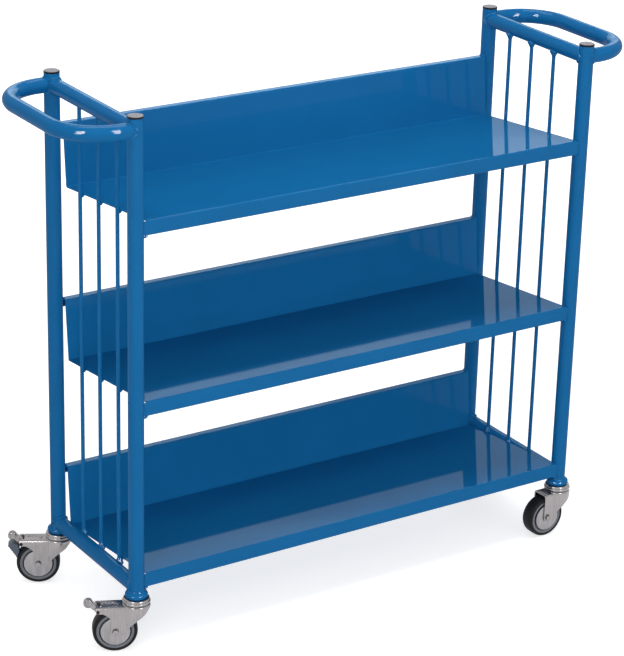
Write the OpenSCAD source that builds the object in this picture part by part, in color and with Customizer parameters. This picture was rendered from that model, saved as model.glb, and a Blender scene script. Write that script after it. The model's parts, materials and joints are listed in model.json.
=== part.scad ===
// Book trolley: four tube posts, two push handles, three tilted shelves, side rods, four swivel casters
// Millimetres. +X to the right along the trolley, +Y to the rear, +Z up, floor at z = 0.

/* [Frame] */
// Left posts to right posts, centre to centre
post_span_x = 930; // [850:5:1000]
// Front posts to rear posts, centre to centre
post_span_y = 295; // [285:1:305]
// Floor to the top of the post caps
frame_h = 979; // [970:1:1040]
// Outside diameter of the posts
tube_d = 28; // [27:0.5:30]
// Wall of the posts, bars and handles
tube_wall = 2; // [1.5:0.25:2.5]
// How far the crossbars and handles lie below the top of the caps
bar_drop = 25; // [23:1:32]
// Height of the bottom crossbars above the foot of the posts
bar_lift = 19; // [18:1:24]

/* [Handles] */
// Post centre to the centre of the outer bar
handle_reach = 111; // [104:1:125]
// Centreline radius of the two handle bends
handle_bend = 84; // [76:1:90]

/* [Side rods] */
// Diameter of the rods
rod_d = 7; // [6:0.5:7.5]
// Distance between neighbouring rods
rod_pitch = 66.75; // [60:0.25:72]

/* [Shelves] */
// Height from one shelf to the next
shelf_pitch = 326; // [316:1:330]
// Top edge of the bottom shelf above the bottom crossbar
shelf_lift = 27; // [27:0.5:30]
// Slope of the decks, rear edge lower
shelf_tilt = 5.3; // [4.8:0.1:5.8]
// Depth of the front lip
lip_h = 27.5; // [24:0.5:28]
// Height of the back panel
back_h = 113; // [100:1:118]
// Sheet thickness of the shelves
sheet_t = 1.5; // [1.25:0.25:2]

/* [Casters] */
// Wheel diameter
wheel_d = 80; // [78:1:81]
// Tyre width
tyre_w = 27; // [25:1:28]
// Swivel axis to the axle of the casters with brakes
trail = 38; // [37:0.5:39]
// Swivel axis to the axle of the casters without brakes
trail_plain = 32.5; // [31:0.5:35]
// Trail direction of the front left caster, degrees from +X
turn_fl = 155.4; // [150:0.2:160]
// Trail direction of the rear left caster
turn_rl = 150.9; // [146:0.1:156]
// Trail direction of the front right caster
turn_fr = 181.5; // [176:0.5:188]
// Trail direction of the rear right caster
turn_rr = 172; // [166:1:178]

/* [Hidden] */
$fn = 48;

blue = [0.07, 0.33, 0.62];
zinc = [0.72, 0.72, 0.74];
black = [0.07, 0.07, 0.08];
grey = [0.45, 0.46, 0.49];
slate = [0.20, 0.24, 0.30];

// Frame values
tr = tube_d / 2;
ti = tr - tube_wall;
bar_r = tr - 0.25;
bar_i = bar_r - tube_wall;
px = post_span_x / 2;
wheel_r = wheel_d / 2;
foot_z = wheel_d + 21;
post_z = foot_z + 7;
cap_h = 4;
cap_skirt = 7;
cap_z = frame_h - cap_h;
bar_top_z = frame_h - bar_drop;
bar_low_z = foot_z + bar_lift;
rod_x = px - 10;
collar_r = tr + 6.3;
boss_h = 25;

// Cutting cylinders that cope a bar's end or notch a shelf round a post or rod
cope_h = 60;
notch_h = 240;
notch_down = 60;

// Caster values: the fork's own x runs along the trail, its y along the axle
fork_i = tyre_w / 2 + 1;
sheet_c = 2.5;
fork_o = fork_i + sheet_c;
plate_z = foot_z - 13;
race_z = plate_z + 2;
axle_z = wheel_r;
head_r = 25;
crown_i = head_r - sheet_c;
crown_x = sqrt(head_r * head_r - fork_o * fork_o);
king_r = 9;
stem_r = 5;
axle_r = 3;
bolt_head_h = 3.3;
run_fit = 0.05;
tyre_h = 6.5;
guard_r = 26;
pin_r = 2;
pin_x = trail + 30.5;
pin_z = plate_z - 7;
arm_x = trail + 33.5;
knob_x = trail + 46.5;
knob_z = plate_z + 4;
knob_r = 8.6;
rivet_r = 2;
rivet_x = trail - 5;
leaf_t = 1.6;
tread_w = 23;
tread_x = 54.9;
rocker_w = 12;

// The origin lies under the middle of the whole outline, so the posts sit a little forward of it
rear_reach = post_span_y / 2 + (trail + tread_x) * sin(turn_rl) + tread_w / 2 * abs(cos(turn_rl));
front_reach = post_span_y / 2 +
  max(head_r, (trail_plain + axle_r) * abs(sin(turn_fr)) + (fork_o + bolt_head_h) * abs(cos(turn_fr)));
y_shift = (rear_reach - front_reach) / 2;
yf = -post_span_y / 2 - y_shift;
yr = post_span_y / 2 - y_shift;
ym = -y_shift;

// Shelf values
shelf_half = px - tr - 0.2;
lip_y = yf - 10.5;
fold_y = yr - 20.9;
deck_len = (fold_y - lip_y) / cos(shelf_tilt);
low_shelf_z = bar_low_z + shelf_lift;
flange_d = 15.5;
flange_lip = 18;

// Plain helpers for bent sheet: a path of corners becomes one outline with rounded folds
function heading(a, b) = atan2(b[1] - a[1], b[0] - a[0]);
function wrap(a) = a > 180 ? a - 360 : (a < -180 ? a + 360 : a);
function dir(a) = [cos(a), sin(a)];
function corner_turn(p, i) = wrap(heading(p[i], p[i + 1]) - heading(p[i - 1], p[i]));
function side_points(p, i, t, rb, side, n) =
  let(h = heading(p[i - 1], p[i]), w = corner_turn(p, i), g = sign(w), back = rb * tan(abs(w) / 2))
  let(c = p[i] - back * dir(h) + g * rb * dir(h + 90), r = rb - side * g * t / 2)
  [for (k = [0:n]) c + r * dir(h - 90 * g + w * k / n)];
function side_path(p, t, rb, side, n) = let(m = len(p) - 1) concat(
  [p[0] + side * t / 2 * dir(heading(p[0], p[1]) + 90)],
  [for (i = [1:m - 1]) each side_points(p, i, t, rb, side, n)],
  [p[m] + side * t / 2 * dir(heading(p[m - 1], p[m]) + 90)]);
function turned(v) = [for (i = [len(v) - 1:-1:0]) v[i]];
module bent_sheet(p, t, rb, n) {
  polygon(concat(side_path(p, t, rb, 1, n), turned(side_path(p, t, rb, -1, n))));
}

module at_post(x, y) {
  translate([x, y, 0]) children();
}

module at_each_post() {
  for (sx = [-1, 1]) at_post(sx * px, yf) children();
  for (sx = [-1, 1]) at_post(sx * px, yr) children();
}

// Frame
module post(x, y) {
  at_post(x, y) difference() {
    translate([0, 0, post_z]) cylinder(r = tr, h = cap_z - post_z);
    translate([0, 0, post_z - 1]) cylinder(r = ti, h = cap_z - post_z + 2);
  }
}
module post_front_left() { color(blue) post(-px, yf); }
module post_front_right() { color(blue) post(px, yf); }
module post_rear_left() { color(blue) post(-px, yr); }
module post_rear_right() { color(blue) post(px, yr); }

module bar_y(x, z, r, y0, y1) {
  translate([x, y0, z]) rotate([-90, 0, 0]) cylinder(r = r, h = y1 - y0);
}

module coped_bar(x, z) {
  difference() {
    bar_y(x, z, bar_r, yf + 1, yr - 1);
    at_post(x, yf) translate([0, 0, z - cope_h / 2]) cylinder(r = tr, h = cope_h);
    at_post(x, yr) translate([0, 0, z - cope_h / 2]) cylinder(r = tr, h = cope_h);
  }
}

module crossbar(x, z) {
  difference() {
    coped_bar(x, z);
    bar_y(x, z, bar_i, yf - 1, yr + 1);
  }
}
module crossbar_top_left() { color(blue) crossbar(-px, bar_top_z); }
module crossbar_top_right() { color(blue) crossbar(px, bar_top_z); }
module crossbar_bottom_left() { color(blue) crossbar(-px, bar_low_z); }
module crossbar_bottom_right() { color(blue) crossbar(px, bar_low_z); }

// Each handle is one bent tube, cut to fit round its two posts and the crossbar
module bent_tube(r) {
  run = handle_reach - handle_bend;
  flat = post_span_y - 2 * handle_bend;
  for (s = [-1, 1]) {
    translate([1, s * post_span_y / 2, 0]) rotate([0, 90, 0]) cylinder(r = r, h = run - 1);
  }
  translate([run, flat / 2, 0]) rotate_extrude(angle = 90) translate([handle_bend, 0]) circle(r = r);
  translate([run, -flat / 2, 0]) rotate([0, 0, -90]) rotate_extrude(angle = 90)
    translate([handle_bend, 0]) circle(r = r);
  translate([handle_reach, -flat / 2, 0]) rotate([-90, 0, 0]) cylinder(r = r, h = flat);
}

module handle() {
  translate([px, ym, bar_top_z]) difference() {
    bent_tube(bar_r);
    bent_tube(bar_i);
    for (s = [-1, 1]) translate([0, s * post_span_y / 2, -cope_h / 2]) cylinder(r = tr, h = cope_h);
    translate([0, -post_span_y / 2, 0]) rotate([-90, 0, 0]) cylinder(r = bar_r, h = post_span_y);
  }
}
module handle_right() { color(blue) handle(); }
module handle_left() { color(blue) mirror([1, 0, 0]) handle(); }

module guard_rods(s) {
  difference() {
    for (k = [-1, 0, 1]) translate([s * rod_x, ym + k * rod_pitch, bar_low_z + 1])
      cylinder(r = rod_d / 2, h = bar_top_z - bar_low_z - 2);
    bar_y(s * px, bar_top_z, bar_r, yf + 20, yr - 20);
    bar_y(s * px, bar_low_z, bar_r, yf + 20, yr - 20);
  }
}
module guard_rods_left() { color(blue) guard_rods(-1); }
module guard_rods_right() { color(blue) guard_rods(1); }

// Shelves: one folded sheet each, from the return behind the lip to the edge behind the back panel
function deck_at(y) = -(y - lip_y) * tan(shelf_tilt);
function shelf_corners() =
  let(h = sheet_t / 2, a = -shelf_tilt)
  let(p1 = [lip_y + h, -lip_h + h], p2 = [lip_y + h, -h * tan(shelf_tilt) - h / cos(shelf_tilt)])
  let(p3 = p2 + (deck_len - 2 * h) * dir(a), p4 = p3 + (back_h - h) * dir(a + 90))
  let(p5 = p4 + [flange_d, 0])
  [p1 + [12, 0], p1, p2, p3, p4, p5, p5 - [0, flange_lip]];
flange_y = shelf_corners()[4][0];
flange_z = shelf_corners()[4][1];

// Weld metal that joins the sheet to the posts and rods
module weld_wedge(y, z, width, run, rise) {
  translate([shelf_half, y, z]) rotate([90, 0, 0]) linear_extrude(width, center = true)
    polygon([[-run, 0], [2, 0], [2, rise], [0.6, rise]]);
}

module shelf_welds() {
  h = lip_h - 4;
  bead_r = 3.1;
  end_r = 1.8;
  end_h = 1.6;
  translate([shelf_half + 1.7, lip_y + 2.7, 1.4 - lip_h]) {
    cylinder(r1 = end_r, r2 = bead_r, h = end_h);
    translate([0, 0, end_h]) cylinder(r = bead_r, h = h - 2 * end_h);
    translate([0, 0, h - end_h]) cylinder(r1 = bead_r, r2 = end_r, h = end_h);
  }
  weld_wedge(yr - 3, flange_z - 0.4, 13, 4, 4.5);
  for (k = [-1, 0, 1]) let(y = ym + k * rod_pitch)
    weld_wedge(y, deck_at(y) - sheet_t + 0.3, 8, 4.2, -4.8);
}

module shelf(z) {
  difference() {
    translate([0, 0, z]) union() {
      translate([-shelf_half, 0, 0]) rotate([90, 0, 90]) linear_extrude(2 * shelf_half)
        bent_sheet(shelf_corners(), sheet_t, 2.2, 5);
      shelf_welds();
      mirror([1, 0, 0]) shelf_welds();
    }
    for (s = [-1, 1]) {
      at_post(s * px, yf) translate([0, 0, z - notch_down]) cylinder(r = tr, h = notch_h);
      at_post(s * px, yr) translate([0, 0, z - notch_down]) cylinder(r = tr, h = notch_h);
      bar_y(s * px, bar_low_z, bar_r, yf, yr);
      for (k = [-1, 0, 1]) translate([s * rod_x, ym + k * rod_pitch, z - notch_down])
        cylinder(r = rod_d / 2, h = notch_h);
    }
  }
}
module shelf_bottom() { color(blue) shelf(low_shelf_z); }
module shelf_middle() { color(blue) shelf(low_shelf_z + shelf_pitch); }
module shelf_top() { color(blue) shelf(low_shelf_z + 2 * shelf_pitch); }

module post_caps() {
  color(black) at_each_post() rotate_extrude() polygon([[0, cap_z], [0, cap_z + cap_h],
    [tr - 6, cap_z + cap_h], [tr - 3, cap_z + cap_h - 0.15], [tr - 0.9, cap_z + cap_h - 0.5],
    [tr + 0.2, cap_z + cap_h - 1.4], [tr + 0.2, cap_z + 0.4], [tr - 0.2, cap_z], [ti, cap_z],
    [ti, cap_z - cap_skirt + 1], [ti - 0.6, cap_z - cap_skirt], [ti - 2, cap_z - cap_skirt],
    [ti - 2, cap_z]]);
}

// Threaded boss welded into the foot of each post, with the weld rising round the tube
module caster_sockets() {
  color(blue) difference() {
    at_each_post() rotate_extrude() polygon([[stem_r, foot_z], [collar_r - 2.7, foot_z],
      [collar_r - 1.2, foot_z + 1.2], [collar_r, foot_z + 3.4], [collar_r, foot_z + 6.6],
      [collar_r - 1, foot_z + 8.4], [tr + 2.8, foot_z + 9.9], [tr + 0.9, foot_z + 11.6], [tr, foot_z + 13.6],
      [tr, post_z], [ti, post_z], [ti, foot_z + boss_h - 2], [ti - 1.5, foot_z + boss_h],
      [stem_r, foot_z + boss_h]]);
    for (s = [-1, 1]) coped_bar(s * px, bar_low_z);
  }
}

// Casters
module caster_at(n) {
  x = (n == 0 || n == 1) ? -px : px;
  y = (n == 0 || n == 2) ? yf : yr;
  a = n == 0 ? turn_fl : (n == 1 ? turn_rl : (n == 2 ? turn_fr : turn_rr));
  translate([x, y, 0]) rotate([0, 0, a]) children();
}

// The caster's wheel and all that turns on its axle; the casters without brakes trail less
module wheel_at(n) {
  caster_at(n) translate([n < 2 ? 0 : trail_plain - trail, 0, 0]) children();
}

module head() {
  rotate_extrude() polygon([[stem_r, foot_z], [20.8, foot_z], [22.4, foot_z - 0.7], [23.4, foot_z - 2.2],
    [23.4, foot_z - 3.4], [22.9, foot_z - 4.2], [24.2, foot_z - 4.9], [head_r, foot_z - 6],
    [head_r, foot_z - 8.4], [24.1, foot_z - 9.6], [22.6, foot_z - 10.2], [22, race_z + 0.1],
    [king_r, race_z + 0.1], [king_r, plate_z - 5.1], [13, plate_z - 5.1], [13, plate_z - 7],
    [11.4, plate_z - 8.5], [stem_r, plate_z - 8.5]]);
}

module hexagon(r) {
  polygon([for (k = [0:5]) r * dir(60 * k)]);
}

module stem_bolt() {
  z0 = plate_z - 8.5;
  bolt_h = 5.4;
  translate([0, 0, z0]) cylinder(r = stem_r, h = foot_z + boss_h - 4 - z0);
  intersection() {
    translate([0, 0, z0 - bolt_h]) linear_extrude(bolt_h) hexagon(9.81);
    translate([0, 0, z0 - bolt_h]) cylinder(r1 = 8.6, r2 = 14, h = bolt_h);
  }
}

// Cross-section of the fork's arms and legs, half of it, with the fold at its top
module fork_section() {
  leg_low = 20;
  fold_o = 4;
  fold_i = fold_o - sheet_c;
  tall = plate_z - fold_o - leg_low;
  difference() {
    union() {
      translate([0, leg_low]) square([fork_o, tall]);
      translate([0, leg_low]) square([fork_o - fold_o, tall + fold_o]);
      translate([fork_o - fold_o, plate_z - fold_o]) circle(r = fold_o);
    }
    union() {
      translate([-1, leg_low - 1]) square([fork_i + 1, tall + 1]);
      translate([-1, leg_low - 1]) square([fork_i + 1 - fold_i, tall + 1 + fold_i]);
      translate([fork_i - fold_i, plate_z - fold_o]) circle(r = fold_i);
    }
  }
}

// One pressing: a round wall about the swivel axis, from which the flat legs run along the trail
module fork_shell(x1) {
  difference() {
    intersection() {
      cylinder(r = head_r, h = plate_z - 2);
      translate([-60, -60, 0]) cube([60 + crown_x - 0.2, 120, 200]);
    }
    translate([0, 0, -1]) cylinder(r = crown_i, h = plate_z);
    translate([0, -fork_i, -1]) cube([30, 2 * fork_i, plate_z]);
  }
  for (m = [0, 1]) mirror([0, m, 0]) translate([crown_x - 0.7, 0, 0]) rotate([90, 0, 90])
    linear_extrude(x1 - crown_x + 0.7) fork_section();
}

// Side view of the leg; the braked fork carries an arm behind the wheel
module leg_outline(t, braked) {
  c = [t, axle_z];
  back = [[-30, plate_z + 4], [-26, plate_z - 1], [-22.5, plate_z - 4.5], [-20, plate_z - 6.5],
    [-14.3, plate_z - 13.2], [-7, plate_z - 18.5], [0, plate_z - 23.2], [7, plate_z - 30.2],
    [12, plate_z - 35.7], [max(t - 23, 14.2), axle_z + 7.5], [max(t - 19.5, 15.5), axle_z],
    c + [-13.5, -5.7], c + [-4.5, -7.4]];
  arm = [c + [8.6, 0], c + [8.2, 22], c + [8.9, 26.4], c + [11.3, 29.6], c + [14.6, 32.2], c + [18, 34.6],
    c + [22, 36.6], c + [33.5, 37.6], c + [33.5, 60]];
  plain = [c + [8.6, 0], c + [9, 15], c + [8.3, 48], c + [8.3, 60]];
  translate(c) circle(r = 8.6);
  polygon(concat(back, [c], braked ? arm : plain));
}

// Long shallow panel pressed into the top of the braked fork
module pressed_panel(run, r) {
  for (k = [0, 1]) translate([run * k, 0, 0]) cylinder(r = r, h = 3);
  translate([0, -r, 0]) cube([run, 2 * r, 3]);
}

module fork(t, braked) {
  difference() {
    union() {
      intersection() {
        fork_shell(braked ? arm_x : t + 12);
        rotate([90, 0, 0]) translate([0, 0, -40]) linear_extrude(80) leg_outline(t, braked);
      }
      rotate_extrude() polygon([[6, plate_z - 5], [head_r - 0.8, plate_z - 5], [head_r, plate_z - 4.2],
        [head_r, plate_z - 1.4], [head_r - 0.6, plate_z + 0.2], [head_r - 1.6, plate_z + 1.3],
        [head_r - 2.9, race_z], [6, race_z]]);
    }
    translate([0, 0, plate_z - 20]) cylinder(r = king_r + run_fit, h = 40);
    translate([t, 0, axle_z]) rotate([90, 0, 0]) cylinder(r = axle_r, h = 80, center = true);
    if (braked) {
      translate([pin_x, 0, pin_z]) rotate([90, 0, 0]) cylinder(r = pin_r, h = 80, center = true);
      translate([pin_x - 6, -9.2, plate_z - 4]) cube([20, 18.4, 10]);
      translate([rivet_x, 0, plate_z - 5]) cylinder(r = rivet_r, h = 10);
      translate([trail + 5, 0, plate_z - 0.7]) pressed_panel(9, 5);
    }
  }
}

module axle() {
  hex_r = 5.8;
  nut_h = 5.2;
  end_h = 1.6;
  translate([trail, 0, axle_z]) rotate([-90, 0, 0]) {
    translate([0, 0, -fork_o - nut_h - end_h]) cylinder(r = axle_r, h = 2 * fork_o + nut_h + end_h);
    intersection() {
      translate([0, 0, -fork_o - nut_h]) linear_extrude(nut_h) hexagon(hex_r);
      translate([0, 0, -fork_o - nut_h]) cylinder(r1 = 5.1, r2 = 7.7, h = nut_h);
    }
    intersection() {
      translate([0, 0, fork_o]) linear_extrude(bolt_head_h) hexagon(hex_r);
      translate([0, 0, fork_o]) cylinder(r1 = 7, r2 = 5, h = bolt_head_h);
    }
  }
}

module axle_sleeve() {
  translate([trail, 0, axle_z]) rotate([90, 0, 0]) difference() {
    cylinder(r = 6.4, h = 2 * fork_i - 2.6, center = true);
    cylinder(r = axle_r, h = 80, center = true);
  }
}

module spun_on_axle() {
  translate([trail, 0, axle_z]) rotate([90, 0, 0]) rotate_extrude() children();
}

module wheel_core() {
  w = tyre_w / 2 - 1;
  rim = wheel_r - tyre_h;
  spun_on_axle() polygon([[6.45, -w], [10.5, -w], [11.5, -w + 1], [12.5, -5], [27, -4.5], [28.5, -6.5],
    [28.5, -w + 0.6], [29.1, -w], [rim, -w], [rim, w], [29.1, w], [28.5, w - 0.6], [28.5, 6.5], [27, 4.5],
    [12.5, 5], [11.5, w - 1], [10.5, w], [6.45, w]]);
}

module tyre() {
  w = tyre_w / 2;
  rim = wheel_r - tyre_h;
  spun_on_axle() difference() {
    union() {
      translate([rim, -w + 1]) square([3, 2 * w - 2]);
      translate([rim + 1, -w + 4.5]) square([5.5, 2 * w - 9]);
      translate([rim + 2, -w]) square([0.01, 2 * w]);
      for (s = [-1, 1]) translate([rim + 2, s * (w - 4.5)]) circle(r = 4.5);
    }
    translate([rim - 20, -40]) square([20, 80]);
  }
}

module thread_guards() {
  disc_t = 1.3;
  for (m = [0, 1]) mirror([0, m, 0]) translate([trail, fork_i, axle_z]) rotate([90, 0, 0]) difference() {
    union() {
      cylinder(r = guard_r, h = disc_t);
      cylinder(r1 = guard_r, r2 = guard_r - 0.6, h = 2.2);
    }
    translate([0, 0, -1]) cylinder(r = axle_r, h = 6);
    translate([0, 0, disc_t]) cylinder(r1 = guard_r - 2, r2 = guard_r - 1.6, h = 2);
  }
}

// Brake: the rocker turns on the pin, its knob is pressed by foot, its tongue carries the ribbed tread
module rocker_outline(tongue) {
  translate([pin_x, pin_z]) circle(r = 5);
  polygon([[pin_x - 3.5, pin_z + 3.5], [pin_x + 3.4, pin_z - 3.6], [knob_x - 2, knob_z - 6],
    [knob_x - 6, knob_z + 3]]);
  if (tongue) polygon([[pin_x - 2.2, pin_z - 4.4], [pin_x + 4.4, pin_z + 2.2], [pin_x + 16, pin_z - 9],
    [pin_x + 13, pin_z - 15]]);
}

module brake_rocker(tongue) {
  difference() {
    union() {
      rotate([90, 0, 0]) linear_extrude(rocker_w, center = true) rocker_outline(tongue);
      translate([pin_x, 0, pin_z]) rotate([90, 0, 0]) cylinder(r = 5, h = 17, center = true);
      translate([knob_x, 0, knob_z]) rotate([90, 0, 0]) rotate_extrude() {
        translate([0, -6.5]) square([knob_r - 4, 13]);
        translate([0, -2.5]) square([knob_r, 5]);
        for (s = [-1, 1]) translate([knob_r - 4, s * 2.5]) circle(r = 4);
      }
    }
    translate([pin_x, 0, pin_z]) rotate([90, 0, 0]) cylinder(r = pin_r + run_fit, h = 40, center = true);
  }
}

module brake_tread() {
  c = [trail, axle_z];
  face = 56.2;
  groove = 1.8;
  difference() {
    rotate([90, 0, 0]) linear_extrude(tread_w, center = true) difference() {
      polygon([c + [36.4, 37], c + [45, 39.8], c + [tread_x, 35], c + [39, 11.3], c + [34, 23.9]]);
      for (k = [0:4]) translate(c + [42, 15.6] + 4.6 * k * dir(face)) rotate(face)
        square(groove, center = true);
    }
    rotate([90, 0, 0]) linear_extrude(rocker_w, center = true) rocker_outline(true);
    translate([pin_x, 0, pin_z]) rotate([90, 0, 0]) cylinder(r = 5.4, h = 40, center = true);
  }
}

module brake_pin() {
  translate([pin_x, 0, pin_z]) rotate([90, 0, 0]) {
    cylinder(r = pin_r, h = 2 * fork_o, center = true);
    for (s = [-1, 1]) translate([0, 0, s * (fork_o + 0.4)]) cylinder(r = 2.9, h = 0.8, center = true);
  }
}

// Leaf under the fork's plate, riveted through it
module brake_leaf() {
  difference() {
    translate([head_r + 1, -9, plate_z - sheet_c - leaf_t]) cube([pin_x - 7 - head_r - 1, 18, leaf_t]);
    translate([pin_x - 12, 0, plate_z - 10]) cylinder(r = 2.4, h = 20);
  }
  translate([rivet_x, 0, plate_z - sheet_c - 1]) cylinder(r = rivet_r, h = sheet_c + 1);
  translate([rivet_x, 0, plate_z]) cylinder(r1 = 3.4, r2 = 2.2, h = 1.2);
}

module head_fl() { color(zinc) caster_at(0) head(); }
module head_rl() { color(zinc) caster_at(1) head(); }
module head_fr() { color(zinc) caster_at(2) head(); }
module head_rr() { color(zinc) caster_at(3) head(); }
module stem_bolt_fl() { color(zinc) caster_at(0) stem_bolt(); }
module stem_bolt_rl() { color(zinc) caster_at(1) stem_bolt(); }
module stem_bolt_fr() { color(zinc) caster_at(2) stem_bolt(); }
module stem_bolt_rr() { color(zinc) caster_at(3) stem_bolt(); }
module fork_fl() { color(zinc) caster_at(0) fork(trail, true); }
module fork_rl() { color(zinc) caster_at(1) fork(trail, true); }
module fork_fr() { color(zinc) caster_at(2) fork(trail_plain, false); }
module fork_rr() { color(zinc) caster_at(3) fork(trail_plain, false); }
module axle_fl() { color(zinc) wheel_at(0) axle(); }
module axle_rl() { color(zinc) wheel_at(1) axle(); }
module axle_fr() { color(zinc) wheel_at(2) axle(); }
module axle_rr() { color(zinc) wheel_at(3) axle(); }
module axle_sleeve_fl() { color(zinc) wheel_at(0) axle_sleeve(); }
module axle_sleeve_rl() { color(zinc) wheel_at(1) axle_sleeve(); }
module axle_sleeve_fr() { color(zinc) wheel_at(2) axle_sleeve(); }
module axle_sleeve_rr() { color(zinc) wheel_at(3) axle_sleeve(); }
module wheel_core_fl() { color(grey) wheel_at(0) wheel_core(); }
module wheel_core_rl() { color(grey) wheel_at(1) wheel_core(); }
module wheel_core_fr() { color(grey) wheel_at(2) wheel_core(); }
module wheel_core_rr() { color(grey) wheel_at(3) wheel_core(); }
module tyre_fl() { color(black) wheel_at(0) tyre(); }
module tyre_rl() { color(black) wheel_at(1) tyre(); }
module tyre_fr() { color(black) wheel_at(2) tyre(); }
module tyre_rr() { color(black) wheel_at(3) tyre(); }
module thread_guards_fl() { color(zinc) wheel_at(0) thread_guards(); }
module thread_guards_rl() { color(zinc) wheel_at(1) thread_guards(); }
module thread_guards_fr() { color(zinc) wheel_at(2) thread_guards(); }
module thread_guards_rr() { color(zinc) wheel_at(3) thread_guards(); }
module brake_rocker_fl() { color(zinc) caster_at(0) brake_rocker(false); }
module brake_rocker_rl() { color(zinc) caster_at(1) brake_rocker(true); }
module brake_tread_rl() { color(slate) caster_at(1) brake_tread(); }
module brake_pin_fl() { color(black) caster_at(0) brake_pin(); }
module brake_pin_rl() { color(black) caster_at(1) brake_pin(); }
module brake_leaf_fl() { color(zinc) caster_at(0) brake_leaf(); }
module brake_leaf_rl() { color(zinc) caster_at(1) brake_leaf(); }

post_front_left();
post_front_right();
post_rear_left();
post_rear_right();
crossbar_top_left();
crossbar_top_right();
crossbar_bottom_left();
crossbar_bottom_right();
handle_left();
handle_right();
guard_rods_left();
guard_rods_right();
shelf_top();
shelf_middle();
shelf_bottom();
post_caps();
caster_sockets();
head_fl();
head_rl();
head_fr();
head_rr();
stem_bolt_fl();
stem_bolt_rl();
stem_bolt_fr();
stem_bolt_rr();
fork_fl();
fork_rl();
fork_fr();
fork_rr();
axle_fl();
axle_rl();
axle_fr();
axle_rr();
axle_sleeve_fl();
axle_sleeve_rl();
axle_sleeve_fr();
axle_sleeve_rr();
wheel_core_fl();
wheel_core_rl();
wheel_core_fr();
wheel_core_rr();
tyre_fl();
tyre_rl();
tyre_fr();
tyre_rr();
thread_guards_fl();
thread_guards_rl();
thread_guards_fr();
thread_guards_rr();
brake_rocker_fl();
brake_rocker_rl();
brake_tread_rl();
brake_pin_fl();
brake_pin_rl();
brake_leaf_fl();
brake_leaf_rl();
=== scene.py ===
"""Dresses the book trolley: powder coat, zinc plate, rubber, moulded plastic, welds and turned wheels."""

import json
import math

import bmesh
import bpy
from bpy.props import FloatProperty, FloatVectorProperty, IntProperty, PointerProperty
from mathutils import Matrix, Vector

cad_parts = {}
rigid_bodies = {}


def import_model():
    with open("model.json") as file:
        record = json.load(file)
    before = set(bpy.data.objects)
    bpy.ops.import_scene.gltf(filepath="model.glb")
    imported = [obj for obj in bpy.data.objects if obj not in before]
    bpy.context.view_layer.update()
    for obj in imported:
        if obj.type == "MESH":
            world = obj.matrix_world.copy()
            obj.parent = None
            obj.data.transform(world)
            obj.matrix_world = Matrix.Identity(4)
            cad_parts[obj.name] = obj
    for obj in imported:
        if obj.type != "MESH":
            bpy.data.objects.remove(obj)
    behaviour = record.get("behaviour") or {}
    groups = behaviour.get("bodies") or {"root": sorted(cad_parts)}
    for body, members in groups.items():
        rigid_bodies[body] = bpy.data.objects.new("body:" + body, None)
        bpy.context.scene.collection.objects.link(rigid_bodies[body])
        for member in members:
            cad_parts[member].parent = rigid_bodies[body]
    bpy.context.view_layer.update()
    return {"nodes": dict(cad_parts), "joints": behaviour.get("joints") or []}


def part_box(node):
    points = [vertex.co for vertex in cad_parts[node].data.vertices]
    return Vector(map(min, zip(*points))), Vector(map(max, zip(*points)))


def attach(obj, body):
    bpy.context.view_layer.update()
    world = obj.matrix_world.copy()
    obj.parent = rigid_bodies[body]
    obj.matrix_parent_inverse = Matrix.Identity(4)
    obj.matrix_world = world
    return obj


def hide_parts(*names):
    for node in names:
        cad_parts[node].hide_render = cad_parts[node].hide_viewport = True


bl_info = {
    "name": "Book Trolley",
    "version": (1, 0, 0),
    "blender": (4, 5, 0),
    "location": "View3D > Sidebar > Trolley",
    "description": "Surfaces, weld beads, wheels and brakes of a steel book trolley",
    "category": "Object",
}

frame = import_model()
MM = 0.001
CORNERS = ("fl", "rl", "fr", "rr")
BRAKED = ("fl", "rl")
SIDES = ("left", "right")
ENDS = ("front", "rear")
LEVELS = ("top", "bottom")
SHELVES = ("top", "middle", "bottom")


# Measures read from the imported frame

def middle(name):
    low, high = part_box(name)
    return [(a + b) / 2 for a, b in zip(low, high)]


def half_size(name, axis):
    low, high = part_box(name)
    return (high[axis] - low[axis]) / 2


def joint(name):
    return next(j for j in frame["joints"] if j["name"] == name)


def wheel_axes(corner):
    """The wheel's centre, the direction of its axle and the direction in which it trails."""
    swivel = Vector(joint("swivel_" + corner)["pos_m"])
    wheel = Vector(joint("roll_" + corner)["pos_m"])
    trail = Vector((wheel.x - swivel.x, wheel.y - swivel.y, 0)).normalized()
    return wheel, Vector((-trail.y, trail.x, 0)), trail


POSTS = {end + "_" + side: middle("post_" + end + "_" + side) for end in ENDS for side in SIDES}
POST_R = half_size("post_front_left", 0)
BAR_R = half_size("crossbar_top_left", 2)
BAR_Z = {level: middle("crossbar_" + level + "_left")[2] for level in LEVELS}
ROD_R = 0.0035
WHEEL_R = joint("roll_fl")["pos_m"][2]


# Profiles of wheels and welds, in millimetres

TYRE_H = 6.5
RIM_R = WHEEL_R / MM - TYRE_H

# Half of the tyre: how far inside the tread, and the place along the axle from the wheel's middle
TYRE_HALF = ((TYRE_H, 12.4), (6.2, 13.0), (5.4, 13.4), (4.2, 13.5), (4.05, 13.38), (3.9, 13.46),
             (2.6, 13.0), (1.3, 11.9), (0.55, 10.4), (0.3, 9.4), (0.42, 9.1), (0.22, 8.8), (0.06, 5.0),
             (0, 0.25))

# Half of the core, from the bore to the rim: the radius, and the place along the axle
CORE_HALF = ((6.45, -12.5), (10.5, -12.5), (11.5, -11.5), (12.5, -5.0), (27.0, -4.5), (28.5, -6.5),
             (28.5, -11.9), (29.1, -12.5), (31.0, -12.5), (31.3, -12.25), (31.6, -12.5),
             (RIM_R - 0.05, -12.45))

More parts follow.
